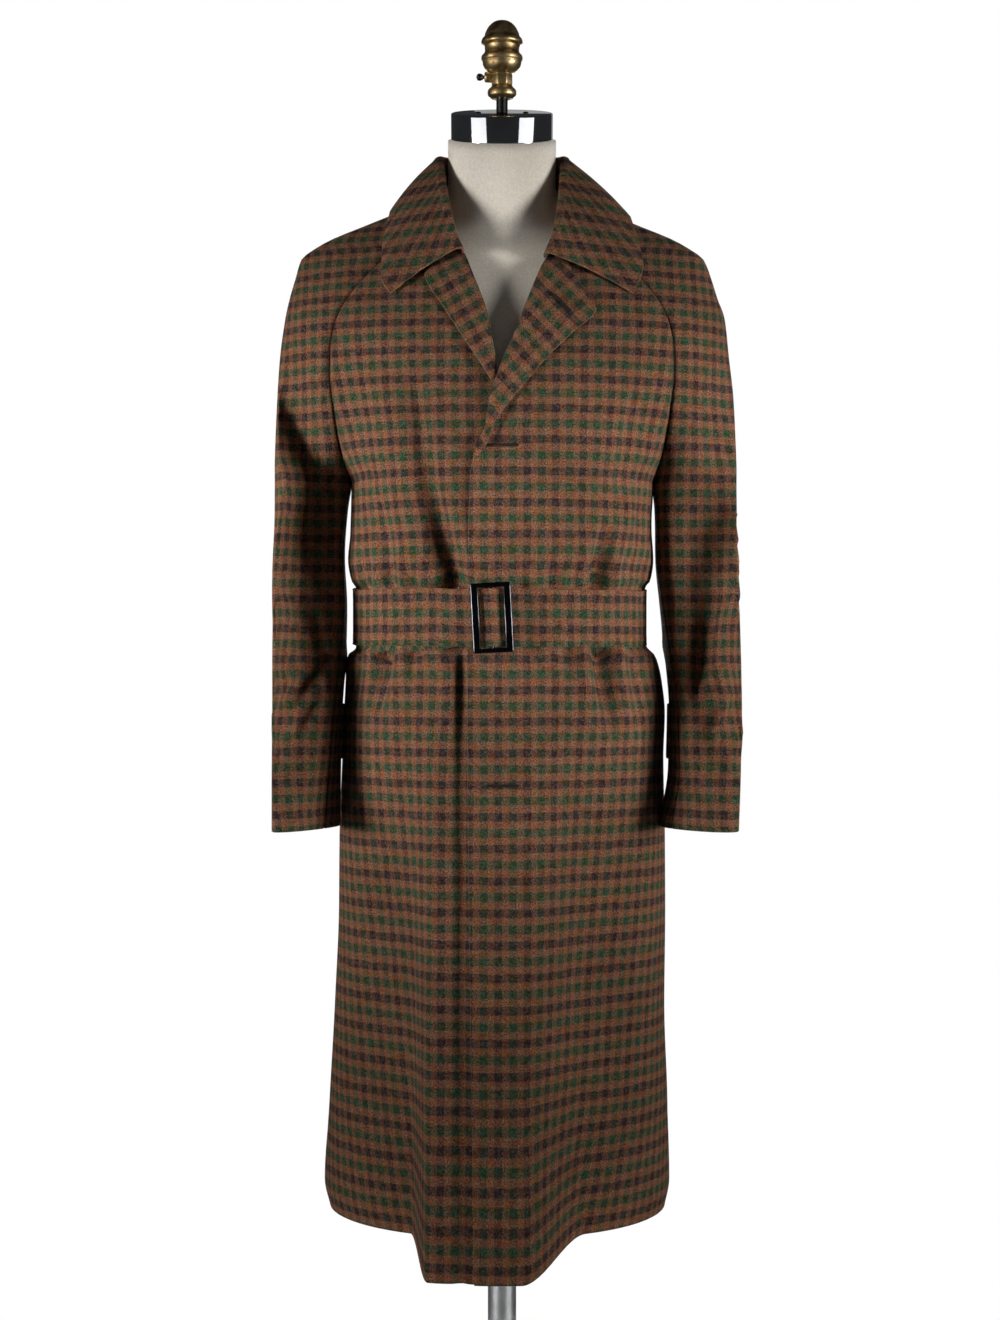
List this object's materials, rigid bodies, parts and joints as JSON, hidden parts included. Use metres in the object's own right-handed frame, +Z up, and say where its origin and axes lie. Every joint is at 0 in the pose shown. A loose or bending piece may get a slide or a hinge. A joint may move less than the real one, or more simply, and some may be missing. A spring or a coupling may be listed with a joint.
{
  "type": "single-breasted belted raglan overcoat on a dress form",
  "caption": "Long checked wool overcoat with raglan sleeves, turn-down collar and buckled belt, standing on a limbless dress form with a weighted base.",
  "frame": {"origin": "on the floor, on the axis of the dress form's stand", "axes": "+Z up the form, -Y out of the coat's front, +X to the wearer's left"},
  "size_m": [0.5036, 0.4358, 1.742],
  "materials": {
    "wool": "soft napped twill in a rust, dark green and plum check",
    "canvas": "cream canvas",
    "chrome": "polished",
    "brass": "antique",
    "gunmetal": "polished black nickel",
    "steel": "dark satin"
  },
  "bodies": {
    "root": {"left_front": "wool", "right_front": "wool", "back": "wool", "left_sleeve_front": "wool", "left_sleeve_back": "wool", "left_lapel": "wool", "left_cuff_strap": "wool", "right_sleeve_front": "wool", "right_sleeve_back": "wool", "right_lapel": "wool", "right_cuff_strap": "wool", "collar": "wool", "belt": "wool", "buckle": "gunmetal", "form_torso": "canvas", "neck_cap": "chrome", "finial_rod": "steel", "finial": "brass", "thumbscrew": "brass", "stand_pole": "steel", "stand_base": "steel"}
  },
  "joints": []
}
